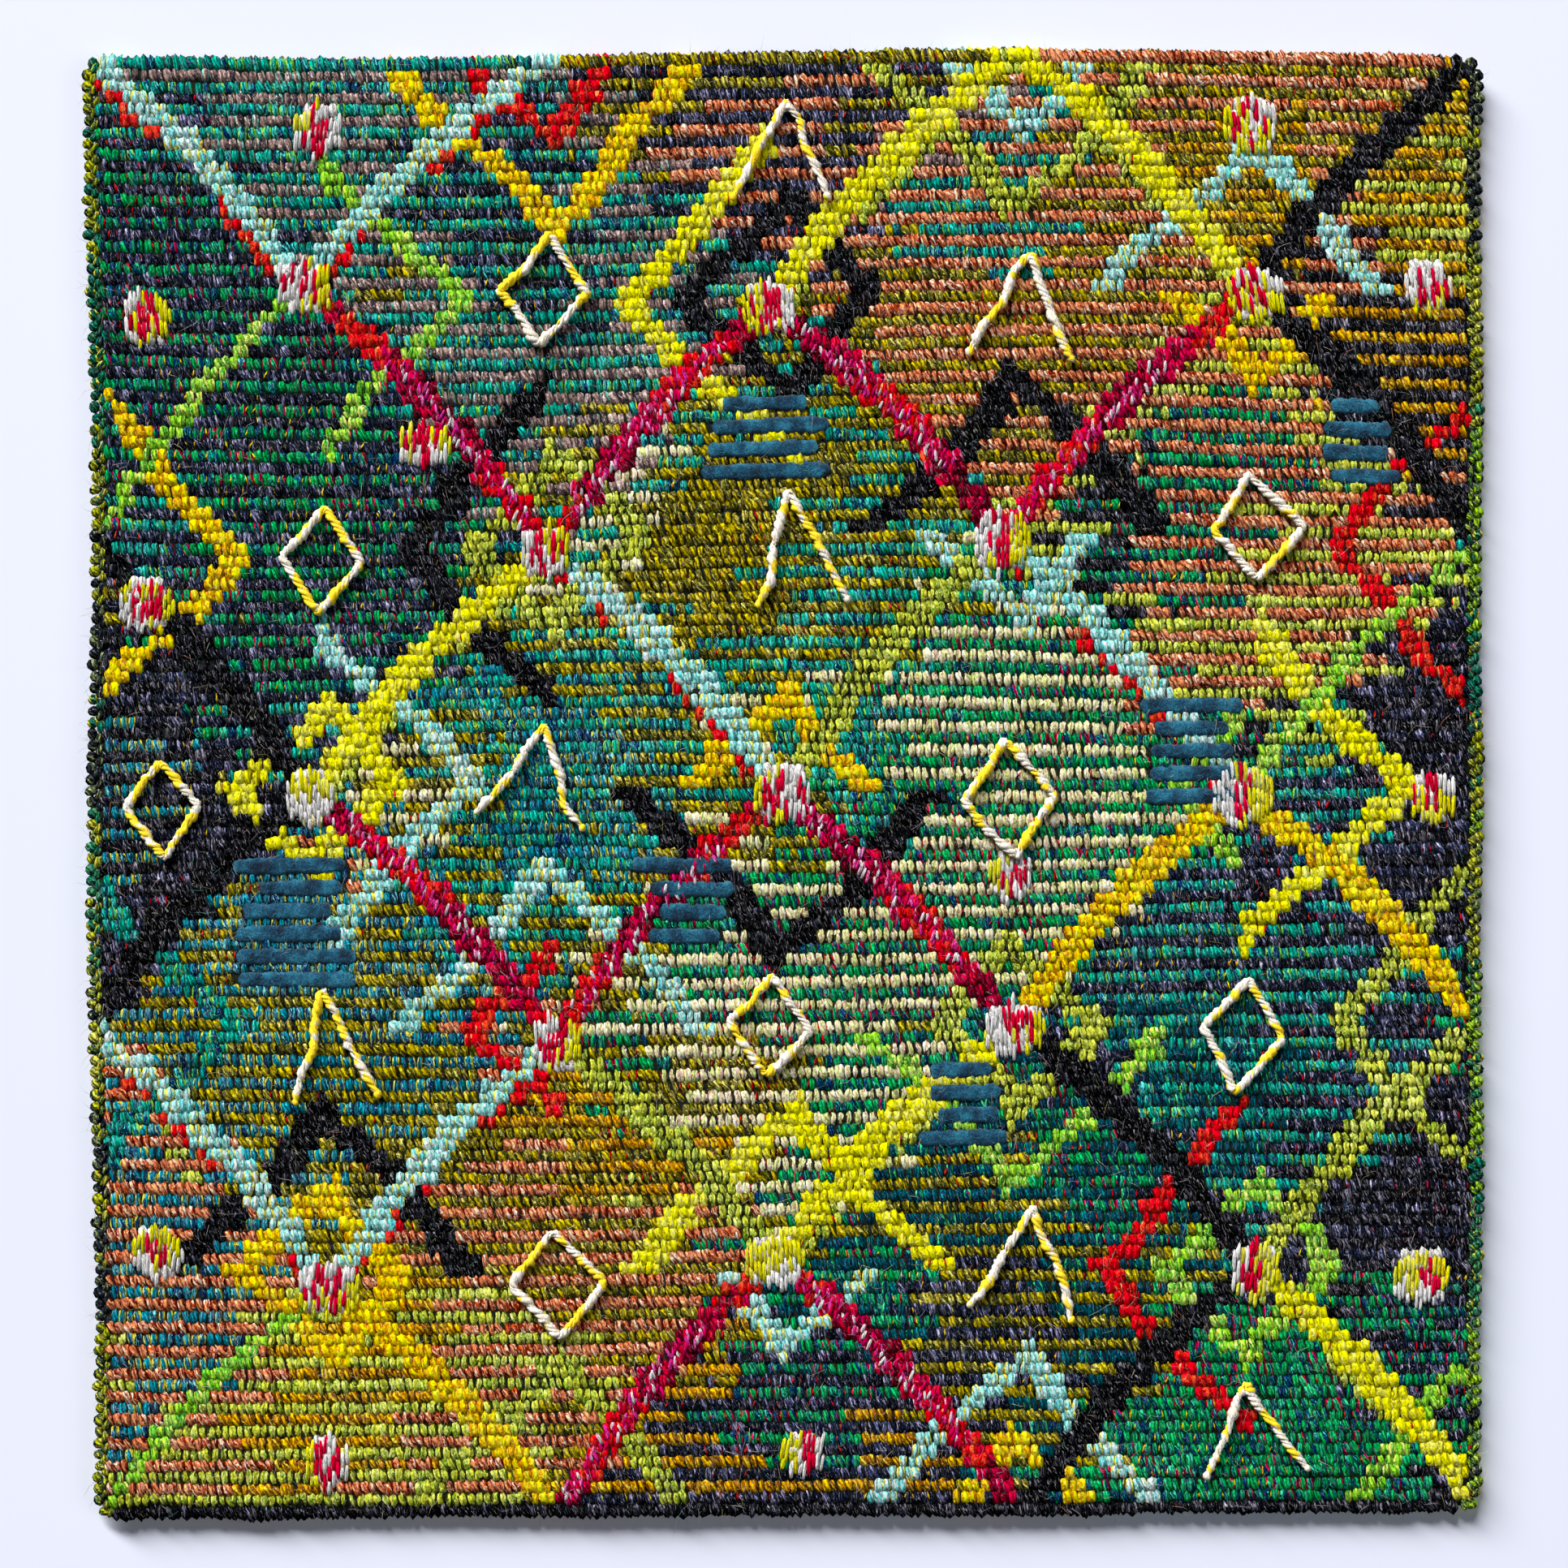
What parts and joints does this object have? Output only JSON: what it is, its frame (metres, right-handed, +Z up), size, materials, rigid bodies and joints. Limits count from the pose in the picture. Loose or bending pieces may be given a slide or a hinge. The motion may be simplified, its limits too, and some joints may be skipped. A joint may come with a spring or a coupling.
{
  "type": "handwoven tapestry",
  "caption": "Handwoven wool wall tapestry, nearly square, with level ribs, knotted side edges and raised wool outlines on its face; hangs by its top edge.",
  "frame": {"origin": "middle of the top edge, half way through the cloth", "axes": "+X to the right seen from the front, +Z up the cloth, the face looks along -Y and the back along +Y"},
  "size_m": [0.3849, 0.0077, 0.4038],
  "materials": {
    "woven_wool": "weft-faced wool weave in many marled colours, matt",
    "knotted_wool": "wool yarn knotted over the warp ends, matt",
    "outline_wool": "thick twisted white and yellow wool, matt"
  },
  "bodies": {
    "root": {"cloth": "woven_wool", "left_knots": "knotted_wool", "right_knots": "knotted_wool", "raised_diamond_1": "outline_wool", "raised_diamond_2": "outline_wool", "raised_diamond_3": "outline_wool", "raised_diamond_4": "outline_wool", "raised_diamond_5": "outline_wool", "raised_diamond_6": "outline_wool", "raised_diamond_7": "outline_wool", "raised_diamond_8": "outline_wool", "raised_chevron_1": "outline_wool", "raised_chevron_2": "outline_wool", "raised_chevron_3": "outline_wool", "raised_chevron_4": "outline_wool", "raised_chevron_5": "outline_wool", "raised_chevron_6": "outline_wool", "raised_chevron_7": "outline_wool"}
  },
  "joints": []
}
